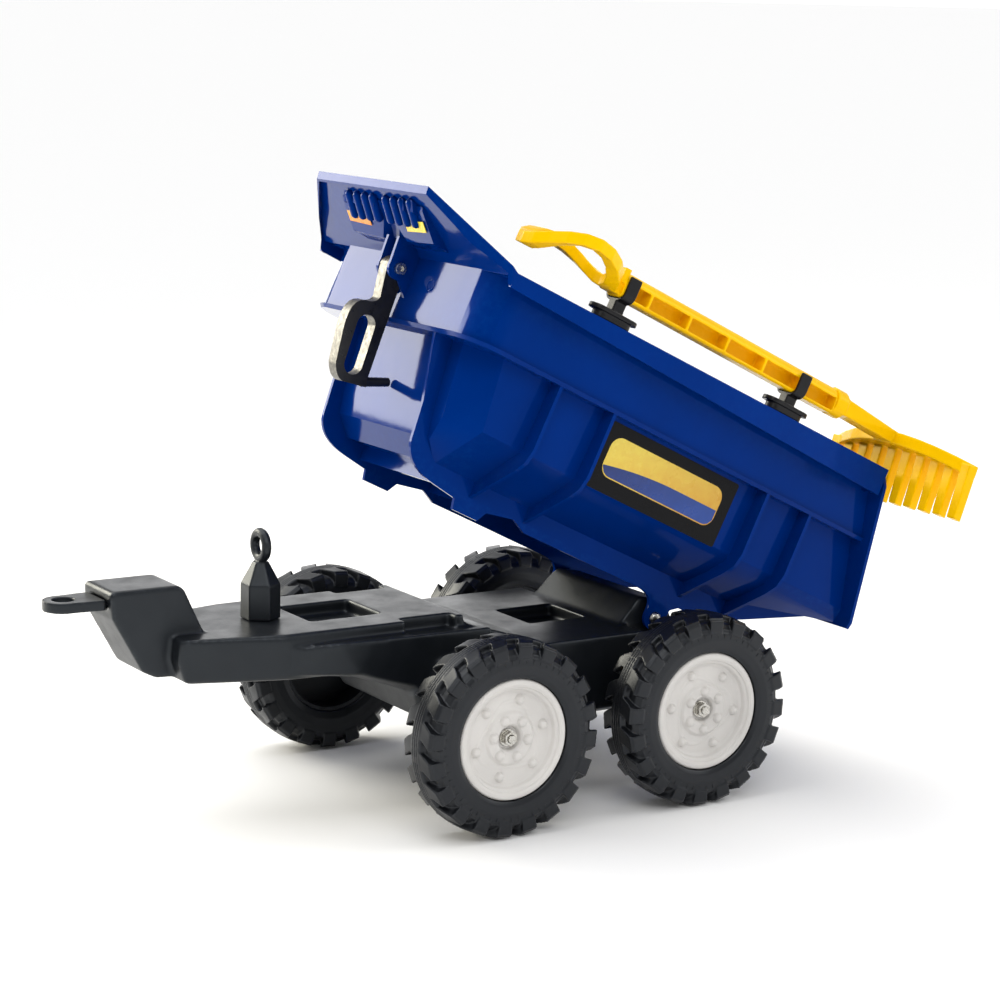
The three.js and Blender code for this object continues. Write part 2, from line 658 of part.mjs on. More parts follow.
// Oval grip: a flat ring that arches upwards between the shaft and its far end.
function gripRing() {
  const centre = 332;
  const slice = (turn) => {
    const across = Math.sin(turn);
    const height = RAKE_HEIGHT - 12 + 21 * across * across;
    return [[59, 45], [43, 32]].flatMap(([long, wide]) => [0, 12].map((up) => (
      [centre + long * Math.cos(turn), RAKE_Y + wide * across, height + up]
    )));
  };
  const steps = 20;
  const slices = Array.from({ length: steps + 1 }, (_, i) => slice((2 * Math.PI * (i % steps)) / steps));
  return join(slices.slice(1).map((next, i) => hull([...slices[i], ...next])));
}

// Head: socket, neck, and a crescent bar whose straight back edge carries the tines.
function rakeHead() {
  const collar = rod('x', [RAKE_Y, RAKE_HEIGHT], RAKE_JOINT_X - 16, RAKE_JOINT_X - GAP, 15, 20);
  const neckStart = RAKE_JOINT_X - 10;
  const neck = hull([-1, 1].flatMap((side) => [
    [neckStart, RAKE_Y + 12 * side, RAKE_HEIGHT + 9], [neckStart, RAKE_Y + 12 * side, RAKE_HEIGHT - 9],
    [-126, RAKE_Y + 18 * side, RAKE_HEIGHT + 2], [-126, RAKE_Y + 14 * side, RAKE_HEIGHT - 10],
  ]));
  const middleY = RAKE_Y + 4.5;
  const half = RAKE_HEAD_WIDTH / 2;
  const slice = (t) => {
    const front = -120 - 32 * t * t;
    const top = RAKE_HEIGHT + 2 - 10 * t * t;
    const y = middleY + half * t;
    return [[front, y, top], [front - 1, y, top - 13], [-157, y, top], [-157, y, top - 11]];
  };
  const steps = 10;
  const slices = Array.from({ length: steps + 1 }, (_, i) => slice(-1 + (2 * i) / steps));
  const bar = slices.slice(1).map((next, i) => hull([...slices[i], ...next]));
  return join([collar, neck, ...bar, ...tines(middleY, half)]);
}

function tines(middleY, half) {
  const width = 14;
  return Array.from({ length: TINES }, (_, i) => {
    const y = middleY - half + width / 2 + ((2 * half - width) * i) / (TINES - 1);
    return hull([-0.5, 0.5].flatMap((side) => [
      [-145, y + width * side, RAKE_HEIGHT - 10], [-157, y + width * side, RAKE_HEIGHT - 8],
      [-153, y + width * side * 0.85, 211], [-163, y + width * side * 0.85, 211],
    ]));
  });
}

// ---------- assembly ----------
function piece(name, solid, material) {
  const mesh = new THREE.Mesh(toGeometry(solid), new THREE.MeshStandardMaterial(COLOURS[material]));
  mesh.name = name;
  return mesh;
}

const trailer = new THREE.Group();
trailer.add(piece('chassis', chassis(), 'blackPlastic'));
trailer.add(piece('drawbar_tongue', drawbarTongue(), 'blackPlastic'));
trailer.add(piece('latch_post', latchPost(), 'blackPlastic'));
trailer.add(piece('hinge_rod', hingeRod(), 'zincSteel'));

for (const [end, x] of [['front', WHEELBASE_HALF], ['rear', -WHEELBASE_HALF]]) {
  trailer.add(piece(`${end}_axle`, axle(x), 'zincSteel'));
  for (const [hand, side] of [['left', 1], ['right', -1]]) {
    const place = `${end}_${hand}`;
    trailer.add(piece(`axle_spacer_${place}`, axleSpacer(x, side), 'blackPlastic'));
    trailer.add(piece(`tyre_${place}`, tyre(x, side), 'tyreBlack'));
    trailer.add(piece(`hub_${place}`, hubCap(x, side), 'whitePlastic'));
    trailer.add(piece(`axle_washer_${place}`, axleWasher(x, side), 'zincSteel'));
    trailer.add(piece(`axle_nut_${place}`, axleNut(x, side), 'zincSteel'));
  }
}

const tipped = new THREE.Group();
tipped.position.set(HINGE_X, 0, HINGE_Z);
tipped.rotation.y = -THREE.MathUtils.degToRad(TIP_ANGLE_DEG);
tipped.add(piece('tub', tub(), 'bluePlastic'));
tipped.add(piece('latch_handle', latchHandle(), 'blackPlastic'));
tipped.add(piece('latch_bolt', latchBolt(), 'zincSteel'));
tipped.add(piece('latch_nut', latchNut(), 'zincSteel'));
tipped.add(piece('tool_clip_front', toolClip(CLIP_X[0]), 'blackPlastic'));
tipped.add(piece('tool_clip_rear', toolClip(CLIP_X[1]), 'blackPlastic'));
tipped.add(piece('rake_handle', rakeHandle(), 'yellowPlastic'));
tipped.add(piece('rake_head', rakeHead(), 'yellowPlastic'));
for (const [hand, side] of [['left', 1], ['right', -1]]) {
  trailer.add(piece(`hinge_cap_${hand}`, hingeCap(side), 'zincSteel'));
  tipped.add(piece(`side_decal_${hand}`, sideDecal(side), 'labelBlack'));
  tipped.add(piece(`lamp_decal_${hand}`, lampDecal(side), side > 0 ? 'lampYellow' : 'lampAmber'));
}
trailer.add(tipped);

// Put the origin under the middle of the whole box.
const bounds = new THREE.Box3().setFromObject(trailer, true);
const middle = bounds.getCenter(new THREE.Vector3());
trailer.position.set(-middle.x, -middle.y, -bounds.min.z);

const group = new THREE.Group();
group.add(trailer);

export default group;
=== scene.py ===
"""Looks of the tipping trailer: materials, softened edges, tyres, hubs, label, light and camera.

Lengths are millimetres until they are turned into metres by world() or tub_point().
"""
import json
import math

import bmesh
import bpy
from mathutils import Matrix, Vector

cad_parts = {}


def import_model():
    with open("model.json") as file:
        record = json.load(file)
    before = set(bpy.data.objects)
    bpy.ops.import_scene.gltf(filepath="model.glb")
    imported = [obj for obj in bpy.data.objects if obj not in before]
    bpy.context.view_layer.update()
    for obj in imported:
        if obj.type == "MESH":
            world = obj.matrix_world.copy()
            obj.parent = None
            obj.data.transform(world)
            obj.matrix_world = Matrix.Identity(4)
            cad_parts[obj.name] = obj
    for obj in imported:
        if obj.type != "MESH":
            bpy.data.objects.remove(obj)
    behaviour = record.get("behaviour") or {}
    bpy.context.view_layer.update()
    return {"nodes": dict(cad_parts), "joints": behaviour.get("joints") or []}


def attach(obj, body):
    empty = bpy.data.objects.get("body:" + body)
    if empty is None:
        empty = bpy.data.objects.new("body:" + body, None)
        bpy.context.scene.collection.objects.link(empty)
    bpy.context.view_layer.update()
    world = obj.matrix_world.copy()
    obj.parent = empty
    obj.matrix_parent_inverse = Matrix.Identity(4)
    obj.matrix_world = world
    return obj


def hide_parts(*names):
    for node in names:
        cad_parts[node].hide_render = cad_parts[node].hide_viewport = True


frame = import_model()
NODES = frame["nodes"]
PIVOTS = {joint["name"]: joint.get("pos_m") for joint in frame["joints"]}

MM = 0.001
TIP = math.radians(26)  # how far the tub stands tipped
WHEEL_PLACES = [f"{end}_{hand}" for end in ("front", "rear") for hand in ("left", "right")]
HINGE = Vector(PIVOTS["tub_tip"])
HINGE_IN_CHASSIS = Vector((-127.5, 0, 173.3)) * MM  # from the ground point midway between the axles
MIDWAY = HINGE - HINGE_IN_CHASSIS

WHEEL_RADIUS = 100
TYRE_HALF = 26.5
HUB_BARREL = 57.7
HUB_BORE = 4.4
LUGS = 20  # per side
SIDES = (("left", 1), ("right", -1))

# The label on the tub's side, as along and up in the tub's frame.
PANEL_LOW, PANEL_HIGH = (8, 88.5), (187, 159.5)
BADGE_LOW, BADGE_HIGH = (22, 104.5), (178.5, 147.5)
BADGE_CORNER = 13


def world(x, y, z):
    """A point in metres, from millimetres ahead, left and above the ground point midway between the axles."""
    return MIDWAY + Vector((x, y, z)) * MM


def tub_point(along, across, up):
    """A point in metres, from millimetres in the tub's own frame, whose origin is on the hinge."""
    x = along * math.cos(TIP) - up * math.sin(TIP)
    z = along * math.sin(TIP) + up * math.cos(TIP)
    return HINGE + Vector((x, across, z)) * MM


# ---------- node helpers ----------
class Nodes:
    """Adds and links shader nodes in one material."""

    def __init__(self, name):
        self.material = bpy.data.materials.new(name)
        self.material.use_nodes = True
        self.tree = self.material.node_tree
        self.shader = self.tree.nodes["Principled BSDF"]
        self.coordinates = self.add("ShaderNodeTexCoord").outputs["Object"]

    def add(self, kind, **settings):
        node = self.tree.nodes.new(kind)
        for name, value in settings.items():
            setattr(node, name, value)
        return node

    def link(self, output, socket):
        self.tree.links.new(output, socket)

    def feed(self, value, socket):
        """Links an output to a socket, or sets the socket to a number or to a colour."""
        if hasattr(value, "links"):
            self.link(value, socket)
        elif isinstance(value, tuple):
            socket.default_value = (*value, 1)
        else:
            socket.default_value = value

    def noise(self, scale, detail=3.0, rough=0.55):
        node = self.add("ShaderNodeTexNoise")
        node.inputs["Scale"].default_value = scale
        node.inputs["Detail"].default_value = detail
        node.inputs["Roughness"].default_value = rough
        self.link(self.coordinates, node.inputs["Vector"])
        return node.outputs["Fac"]

    def remap(self, value, low, high, to_low, to_high):
        node = self.add("ShaderNodeMapRange")
        for socket, number in zip(node.inputs[1:5], (low, high, to_low, to_high)):
            socket.default_value = number
        self.link(value, node.inputs[0])
        return node.outputs[0]

    def mix(self, factor, first, second):
        """A colour between two colours or outputs."""
        node = self.add("ShaderNodeMix", data_type="RGBA")
        self.link(factor, node.inputs["Factor"])
        self.feed(first, node.inputs["A"])
        self.feed(second, node.inputs["B"])
        return node.outputs["Result"]

    def math(self, operation, first, second):
        node = self.add("ShaderNodeMath", operation=operation)
        self.feed(first, node.inputs[0])
        self.feed(second, node.inputs[1])
        return node.outputs[0]

    def bump(self, height, strength, distance):
        node = self.add("ShaderNodeBump")
        node.inputs["Strength"].default_value = strength
        node.inputs["Distance"].default_value = distance
        self.link(height, node.inputs["Height"])
        self.link(node.outputs["Normal"], self.shader.inputs["Normal"])

    def edges(self):
        """0 on flats and 1 on worn outer edges."""
        geometry = self.add("ShaderNodeNewGeometry")
        return self.remap(geometry.outputs["Pointiness"], 0.51, 0.58, 0, 1)


def shade(colour, factor):
    """A colour made lighter or darker by a factor."""
    return tuple(min(1, channel * factor) for channel in colour)


def moulded_plastic(name, colour, roughness, grain, grain_depth,
                    specular=0.5, tint=None, worn=None, wear=0.35):
    """Moulded plastic: cloudy colour, a fine grain, smears in its gloss, and edges rubbed lighter."""
    nodes = Nodes(name)
    clouds = nodes.remap(nodes.noise(9, 4), 0.3, 0.7, 0, 1)
    body = nodes.mix(clouds, shade(colour, 0.9), shade(colour, 1.08))
    scuffs = nodes.remap(nodes.noise(140, 6, 0.7), 0.45, 0.75, 0, 1)
    rubbed = nodes.math("MULTIPLY", nodes.math("MULTIPLY", nodes.edges(), scuffs), wear)
    nodes.link(nodes.mix(rubbed, body, worn or shade(colour, 1.6)), nodes.shader.inputs["Base Color"])
    smears = nodes.remap(nodes.noise(34, 5, 0.6), 0.3, 0.7, roughness * 0.82, roughness * 1.2)
    nodes.link(smears, nodes.shader.inputs["Roughness"])
    nodes.bump(nodes.noise(grain, 3), 0.5, grain_depth)
    nodes.shader.inputs["Specular IOR Level"].default_value = specular
    if tint:
        nodes.shader.inputs["Specular Tint"].default_value = (*tint, 1)
    return nodes.material


# ---------- materials ----------
def blue_material():
    return moulded_plastic("blue_gloss", (0.0, 0.022, 0.175), 0.09, 26, 0.0004, specular=0.3,
                           tint=(0.0, 0.1, 0.6), worn=(0.01, 0.12, 0.45), wear=0.1)


def black_material():
    return moulded_plastic("black_satin", (0.0055, 0.0068, 0.009), 0.36, 620, 0.00012,
                           specular=0.4, tint=(0.86, 0.93, 1.0), worn=(0.06, 0.07, 0.085), wear=0.6)


def tyre_material():
    return moulded_plastic("tyre_satin", (0.0045, 0.0052, 0.0068), 0.36, 480, 0.00016,
                           specular=0.42, tint=(0.9, 0.94, 1.0), worn=(0.05, 0.055, 0.065), wear=0.5)


def clip_material():
    return moulded_plastic("clip_black", (0.004, 0.004, 0.005), 0.3, 700, 0.0001, specular=0.25)


def white_material():
    return moulded_plastic("hub_white", (0.64, 0.62, 0.595), 0.36, 300, 0.00012, specular=0.4,
                           worn=(0.72, 0.7, 0.66))


def yellow_material():
    return moulded_plastic("rake_yellow", (0.92, 0.52, 0.0), 0.26, 90, 0.00025,
                           specular=0.3, tint=(1, 0.75, 0.1), worn=(0.95, 0.7, 0.1))


def steel_material():
    nodes = Nodes("zinc_steel")
    tint = nodes.remap(nodes.noise(220, 5, 0.65), 0.3, 0.7, 0, 1)
    nodes.link(nodes.mix(tint, (0.42, 0.4, 0.36), (0.66, 0.65, 0.61)), nodes.shader.inputs["Base Color"])
    nodes.link(nodes.remap(nodes.noise(500, 4), 0.3, 0.7, 0.16, 0.36), nodes.shader.inputs["Roughness"])
    nodes.bump(nodes.noise(900, 3), 0.4, 0.0001)
    nodes.shader.inputs["Metallic"].default_value = 1
    return nodes.material


def handle_material():
    """Black on the flat faces, and metal rubbed bare round the edge and inside the slot."""
    nodes = Nodes("latch_worn")
    normal = nodes.add("ShaderNodeTexCoord").outputs["Normal"]
    across = nodes.add("ShaderNodeSeparateXYZ")
    nodes.link(normal, across.inputs[0])
    side_on = nodes.math("ABSOLUTE", across.outputs["Y"], 0)
    bare = nodes.remap(side_on, 0.25, 0.6, 1, 0)
    scratches = nodes.remap(nodes.noise(260, 8, 0.75), 0.38, 0.62, 0.35, 1)
    rubbed = nodes.math("MULTIPLY", bare, scratches)
    nodes.link(nodes.mix(rubbed, (0.006, 0.006, 0.007), (0.2, 0.19, 0.17)), nodes.shader.inputs["Base Color"])
    nodes.link(nodes.remap(nodes.noise(180, 6, 0.7), 0.3, 0.7, 0.22, 0.5), nodes.shader.inputs["Roughness"])
    nodes.link(nodes.math("MULTIPLY", rubbed, 0.85), nodes.shader.inputs["Metallic"])
    nodes.bump(nodes.noise(420, 5, 0.7), 0.6, 0.0002)
    return nodes.material


def label_black_material():
    return moulded_plastic("label_black", (0.003, 0.003, 0.004), 0.25, 800, 0.00004, specular=0.12)


def film_material(name, low, high):
    """Printed film that fades from one colour at its lower edge to another at its upper edge."""
    nodes = Nodes(name)
    split = nodes.add("ShaderNodeSeparateXYZ")
    nodes.link(nodes.add("ShaderNodeTexCoord").outputs["Generated"], split.inputs[0])
    mottle = nodes.remap(nodes.noise(120, 5), 0.3, 0.7, -0.12, 0.12)
    height = nodes.math("ADD", split.outputs["Z"], mottle)
    nodes.link(nodes.mix(height, low, high), nodes.shader.inputs["Base Color"])
    nodes.link(nodes.remap(nodes.noise(60, 5), 0.3, 0.7, 0.22, 0.36), nodes.shader.inputs["Roughness"])
    nodes.bump(nodes.noise(900, 2), 0.3, 0.00005)
    return nodes.material


MATERIALS = {
    "blue": blue_material(),
    "black": black_material(),
    "tyre": tyre_material(),
    "clip": clip_material(),
    "white": white_material(),
    "yellow": yellow_material(),
    "steel": steel_material(),
    "handle": handle_material(),
    "label_black": label_black_material(),
    "label_gold": film_material("label_gold", (0.6, 0.27, 0.01), (0.8, 0.62, 0.08)),
    "label_blue": film_material("label_blue", (0.003, 0.05, 0.3), (0.002, 0.02, 0.14)),
    "lamp_yellow": film_material("lamp_yellow", (0.9, 0.62, 0.02), (0.95, 0.8, 0.05)),
    "lamp_amber": film_material("lamp_amber", (0.85, 0.25, 0.01), (0.9, 0.4, 0.02)),
}


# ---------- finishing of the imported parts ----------
def paint(node, material):
    """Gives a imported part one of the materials."""
    for material_slot in NODES[node].material_slots:
        material_slot.material = MATERIALS[material]


def soften(thing, voxel, rounds):
    """Turns an object's hard facets into a moulded skin with soft edges."""
    remesh = thing.modifiers.new("skin", "REMESH")
    remesh.mode = "VOXEL"
    remesh.voxel_size = voxel * MM
    remesh.use_smooth_shade = True
    smooth = thing.modifiers.new("smooth", "SMOOTH")
    smooth.factor = 0.5
    smooth.iterations = rounds


def round_edges(node, width, segments=2, angle=28):
    """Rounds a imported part's sharp edges."""
    part = NODES[node]
    weld = part.modifiers.new("weld", "WELD")
    weld.merge_threshold = 0.02 * MM
    flats = part.modifiers.new("flats", "DECIMATE")
    flats.decimate_type = "DISSOLVE"
    flats.angle_limit = math.radians(1)
    bevel = part.modifiers.new("bevel", "BEVEL")
    bevel.width = width * MM
    bevel.segments = segments
    bevel.limit_method = "ANGLE"
    bevel.angle_limit = math.radians(angle)
    bevel.harden_normals = False
    for polygon in part.data.polygons:
        polygon.use_smooth = True
    normals = part.modifiers.new("normals", "WEIGHTED_NORMAL")
    normals.keep_sharp = False
    normals.weight = 80


def finish_packed_parts():
    paint("chassis", "black")
    soften(NODES["chassis"], 2.0, 7)
    for node, voxel, rounds in (("latch_post", 0.9, 6), ("drawbar_tongue", 1.0, 5)):
        paint(node, "black")
        soften(NODES[node], voxel, rounds)
    paint("tub", "blue")
    round_edges("tub", 1.5, 3)
    paint("latch_handle", "handle")
    round_edges("latch_handle", 1.2, 3)
    for node in ("tool_clip_front", "tool_clip_rear"):
        paint(node, "clip")
        soften(NODES[node], 0.7, 3)
    for node in ("rake_handle", "rake_head"):
        paint(node, "yellow")
        soften(NODES[node], 0.9, 4)
    for node in ("hinge_cap_left", "hinge_cap_right", "latch_bolt", "latch_nut"):
        paint(node, "steel")
        round_edges(node, 0.5)
    for node in ("hinge_rod", "front_axle", "rear_axle"):
        paint(node, "steel")
        round_edges(node, 0.6)
    for place in WHEEL_PLACES:
        for kind, material in (("axle_spacer", "black"), ("axle_washer", "steel"), ("axle_nut", "steel")):
            paint(f"{kind}_{place}", material)
            round_edges(f"{kind}_{place}", 0.4)
    paint("lamp_decal_left", "lamp_yellow")
    paint("lamp_decal_right", "lamp_amber")


# ---------- mesh helpers ----------
def add_object(name, data):
    thing = bpy.data.objects.new(name, data)
    bpy.context.scene.collection.objects.link(thing)
    return thing


def new_piece(name, mesh_builder, material):
    """An object from a bmesh, shaded smooth."""
    mesh = bpy.data.meshes.new(name)
    bmesh.ops.recalc_face_normals(mesh_builder, faces=mesh_builder.faces)
    mesh_builder.to_mesh(mesh)
    mesh_builder.free()
    mesh.materials.append(MATERIALS[material])
    mesh.shade_smooth()
    return add_object(name, mesh)


def add_ring_stack(builder, rings):
    """Joins closed rings of points, one after the other, and caps nothing: the last ring meets the first."""
    loops = [[builder.verts.new(point) for point in ring] for ring in rings]
    for ring, following in zip(loops, loops[1:] + loops[:1]):
        for i, vertex in enumerate(ring):
            j = (i + 1) % len(ring)
            builder.faces.new((vertex, ring[j], following[j], following[i]))


def add_block(builder, slices):
    """A closed solid through slices that all have the same number of points."""
    rows = [[builder.verts.new(point) for point in points] for points in slices]
    for row, following in zip(rows, rows[1:]):
        for i, vertex in enumerate(row):
            j = (i + 1) % len(row)
            builder.faces.new((vertex, row[j], following[j], following[i]))
    builder.faces.new(rows[0])
    builder.faces.new(rows[-1])


def apply_modifiers(piece):
    """Makes a piece's modifiers part of its mesh."""
    bpy.context.view_layer.update()
    evaluated = piece.evaluated_get(bpy.context.evaluated_depsgraph_get())
    mesh = bpy.data.meshes.new_from_object(evaluated)
    piece.modifiers.clear()
    piece.data = mesh


def take_mesh(piece):
    """The mesh of a piece that was only needed to shape it; the piece goes."""
    mesh = piece.data
    bpy.data.objects.remove(piece)
    return mesh


# ---------- tyres ----------
def round_point(radius, turn, out):
    """A point about the wheel's own centre; out is along the axle, away from the trailer."""
    return Vector((radius * math.sin(turn), out, radius * math.cos(turn))) * MM


def tyre_carcass():
    """Half section of the tyre without lugs, as radius and distance out, round to where it starts."""
    bore = HUB_BARREL + 0.3
    half = TYRE_HALF
    tread = [(87, 4), (91, 8), (92.5, 13), (93, 17), (98.6, 18.2)]
    left = [(radius, -half + inset) for radius, inset in tread]
    right = [(radius, half - inset) for radius, inset in reversed(tread)]
    groove = 1.9
    band = [(99.4, -6.4), (99.6, -4.6), (99.6 - groove, -3.7), (99.6, -2.8), (99.8, -0.9), (99.8 - groove, 0),
            (99.8, 0.9), (99.6, 2.8), (99.6 - groove, 3.7), (99.6, 4.6), (99.4, 6.4)]
    outer = [(86, half - 2.4), (84, half - 2.6), (82, half - 1.4), (74, half - 0.6), (66, half - 1.6),
             (HUB_BARREL + 4, half - 3.6), (HUB_BARREL + 4, 18.4), (bore, 18.4)]
    inner = [(bore, -half + 4), (66, -half + 1.2), (74, -half + 0.6), (82, -half + 1.2), (86, -half + 2.6)]
    return inner + left + band + right + outer


def add_lug(builder, start, hand):
    """One curved lug from the middle band over the shoulder and down the sidewall."""
    steps = 7
    half_angle = math.radians(5.1)
    top = []
    for step in range(steps):
        t = step / (steps - 1)
        out = hand * (5 + 18 * t)
        top.append((WHEEL_RADIUS - 0.6 - 1.4 * t * t, out, math.radians(5) * t ** 1.6))
    slices = []
    for radius, out, sweep in top:
        turn = start + sweep
        slices.append([round_point(r, turn + side * half_angle, out)
                       for r, side in ((radius, -1), (radius, 1), (86, 1), (86, -1))])
    add_block(builder, slices)
    sweep = top[-1][2]
    turns = (start + sweep - half_angle, start + sweep + half_angle)
    shoulder = hand * (TYRE_HALF - 0.2)
    inwards = hand * 15
    add_block(builder, [
        [round_point(98.2, turn, hand * 21), round_point(95, turn, shoulder * 0.97),
         round_point(82.5, turn, shoulder), round_point(82.5, turn, inwards)]
        for turn in turns
    ])


def tyre_mesh():
    """One lugged tyre about its own centre, as a mesh."""
    builder = bmesh.new()
    segments = 144
    profile = tyre_carcass()
    rings = [[round_point(radius, 2 * math.pi * i / segments, out) for radius, out in profile]
             for i in range(segments)]
    add_ring_stack(builder, rings)
    pitch = 2 * math.pi / LUGS
    for i in range(LUGS):
        add_lug(builder, i * pitch, 1)
        add_lug(builder, (i + 0.5) * pitch, -1)
    tyre = new_piece("tyre_skin", builder, "tyre")
    soften(tyre, 0.95, 2)
    apply_modifiers(tyre)
    marked = bmesh.new()
    marked.from_mesh(tyre.data)
    add_sidewall_ticks(marked)
    marked.to_mesh(tyre.data)
    marked.free()
    return take_mesh(tyre)


def add_sidewall_ticks(builder):
    """Short raised strokes moulded round the outer sidewall, three for each lug."""
    half_angle = math.radians(0.35)
    start = 77
    ticks = LUGS * 3
    for i in range(ticks):
        turn = 2 * math.pi * (i + 0.5) / ticks
        end = start + (4.5 if i % 3 else 2.5)
        add_block(builder, [
            [round_point(radius, turn + side * half_angle, out)
             for radius, side in ((start, -1), (start, 1), (end, 1), (end, -1))]
            for out in (TYRE_HALF - 1.9, TYRE_HALF - 0.75)
        ])


# ---------- hubs ----------
def dome(distance, radius, height):
    """Height of a rounded bump at a distance from its middle."""
    if distance >= radius:
        return 0
    return height * math.sqrt(1 - (distance / radius) ** 2)


def hub_profile(radius):
    """Distance out of the hub's face at a radius, without its bumps."""
    points = [(HUB_BORE, 9), (11, 9), (13, 14.5), (15, 16.3), (24.5, 16.3), (28.5, 13.4), (45, 13.2),
              (48.5, 14.5), (50, 18.6), (51.2, 19.6), (52.6, 19.8), (53.6, 22), (56, 22.9), (59, 22.6),
              (61.2, 20.6)]
    for (r0, out0), (r1, out1) in zip(points, points[1:]):
        if r0 <= radius <= r1:
            t = (radius - r0) / (r1 - r0)
            t = t * t * (3 - 2 * t)
            return out0 + (out1 - out0) * t
    return points[-1][1]


def hub_face(radius, turn):
    """Distance out of the hub's face, with its two rings of six bosses and its wavy raised line."""
    inner_bosses = (20, 0.25, 5.2, 4.6)
    outer_bosses = (39.5, 0.62, 4.8, 5)
    out = hub_profile(radius)
    x = radius * math.sin(turn)
    z = radius * math.cos(turn)
    for i in range(6):
        for ring, offset, size, height in (inner_bosses, outer_bosses):
            angle = (i + offset) * math.pi / 3
            distance = math.hypot(x - ring * math.sin(angle), z - ring * math.cos(angle))
            out += dome(distance, size, height)
    wave = 33 + 4.5 * math.cos(3 * turn + 0.6)
    if 28 < radius < 46:
        out += dome(abs(radius - wave), 2, 0.6)
    return out


def hub_mesh():
    """One hub about its own centre, as a mesh: its face is white and its back black."""
    builder = bmesh.new()
    segments = 256
    black_below = 8.5
    radii = [HUB_BORE + 0.6 * i for i in range(95)]
    back = [(61.2, 18.8), (HUB_BARREL, 18.6), (HUB_BARREL, -19.8), (54, -19), (54, 8), (46, 8), (9, 4),
            (9, -23.5), (HUB_BORE, -23.5)]
    rings = []
    for i in range(segments):
        turn = 2 * math.pi * i / segments
        face = [round_point(radius, turn, hub_face(radius, turn)) for radius in radii]
        rings.append(face + [round_point(radius, turn, out) for radius, out in back])
    add_ring_stack(builder, rings)
    hub = new_piece("hub_skin", builder, "white")
    mesh = take_mesh(hub)
    mesh.materials.append(MATERIALS["tyre"])
    for face in mesh.polygons:
        if face.center.y < black_below * MM:
            face.material_index = 1
    mesh.set_sharp_from_angle(angle=math.radians(50))
    return mesh


def wheel_pieces():
    tyre = tyre_mesh()
    hub = hub_mesh()
    for number, place in enumerate(WHEEL_PLACES):
        side = 1 if place.endswith("left") else -1
        turn = Matrix.Rotation(0 if side > 0 else math.pi, 4, "Z")
        spin = Matrix.Rotation(math.radians(7 + 19 * number), 4, "Y")
        placed = Matrix.Translation(Vector(PIVOTS[f"wheel_spin_{place}"])) @ turn @ spin
        wheel_piece(f"lugged_tyre_{place}", tyre, placed, place, "tyre")
        wheel_piece(f"bossed_hub_{place}", hub, placed, place, "hub")


def wheel_piece(name, source, placed, place, kind):
    """A copy of the tyre or hub at one wheel, which stands for that wheel's plain part."""
    mesh = source.copy()
    mesh.transform(placed)
    piece = add_object(name, mesh)
    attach(piece, f"wheel_{place}")
    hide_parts(f"{kind}_{place}")


# ---------- side labels ----------
def wall_y(up):
    """Outside face of the tub's lower side wall at a height: it leans out by 2 over 73."""
    return 146 + (up - 90) / 73 * 2


def rounded_outline(low, high, corner, steps=8):
    """Corner-rounded rectangle between two (along, up) corners."""
    points = []
    centres = [(high[0] - corner, high[1] - corner, 0), (low[0] + corner, high[1] - corner, 1),
               (low[0] + corner, low[1] + corner, 2), (high[0] - corner, low[1] + corner, 3)]
    for along, up, quarter in centres:
        for i in range(steps + 1):
            angle = (quarter + i / steps) * math.pi / 2
            points.append((along + corner * math.cos(angle), up + corner * math.sin(angle)))
    return points


def label_layer(name, outline, low, high, side, material):
    """A thin printed layer on the tub's wall, between two heights off the wall."""
    builder = bmesh.new()
    add_block(builder, [[tub_point(along, side * (wall_y(up) + lift), up) for along, up in outline]
                        for lift in (low, high)])
    layer = new_piece(name, builder, material)
    layer.data.set_sharp_from_angle(angle=math.radians(40))
    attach(layer, "tub")
    return layer


def band_height(along):
    """Top of the label's blue band, which falls away towards the front."""
    return 124.4 - 9.5 * max(0, (along - 80) / 98) ** 2


def side_label(hand, side):
    """The black panel, the gold badge on it, and the badge's blue band."""
    outline = rounded_outline(PANEL_LOW, PANEL_HIGH, 3)
    panel = label_layer(f"label_panel_{hand}", outline, 0.3, 0.5, side, "label_black")
    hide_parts(f"side_decal_{hand}")
    badge = rounded_outline(BADGE_LOW, BADGE_HIGH, BADGE_CORNER)
    label_layer(f"label_badge_{hand}", badge, 0.5, 0.65, side, "label_gold")
    label_band(f"label_band_{hand}", side)


def label_band(name, side):
    """The blue lower part of the badge, as a strip between the badge's lower edge and the band's top."""
    inset = 1.2
    steps = 40
    corner = BADGE_CORNER
    start = BADGE_LOW[0]
    end = BADGE_HIGH[0]
    builder = bmesh.new()
    columns = []
    for i in range(steps + 1):
        along = start + inset + (end - start - 2 * inset) * i / steps
        into_corner = max(0, start + corner - along, along - end + corner)
        bottom = BADGE_LOW[1] + inset + corner - math.sqrt(max(0, corner ** 2 - into_corner ** 2))
        top = max(bottom + 0.4, band_height(along))
        columns.append([tub_point(along, side * (wall_y(up) + lift), up)
                        for up, lift in ((bottom, 0.65), (top, 0.65), (top, 0.8), (bottom, 0.8))])
    add_block(builder, columns)
    band = new_piece(name, builder, "label_blue")
    band.data.set_sharp_from_angle(angle=math.radians(40))
    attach(band, "tub")


# ---------- moulded ring mark ----------
def ring_mark():
    """A small ring moulded on the front wall, left of the handle."""
    builder = bmesh.new()
    along, across, up = 387.6, 52, 208
    thickness = 0.9
    turns = 28
    sides = 8
    rings = []
    for i in range(turns):
        turn = 2 * math.pi * i / turns
        ring = []
        for k in range(sides):
            angle = 2 * math.pi * k / sides
            radius = 6 + thickness * math.cos(angle)
            ring.append(tub_point(along + thickness * math.sin(angle), across + radius * math.cos(turn),
                                  up + radius * math.sin(turn)))
        rings.append(ring)
    add_ring_stack(builder, rings)
    mark = new_piece("front_ring_mark", builder, "blue")
    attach(mark, "tub")


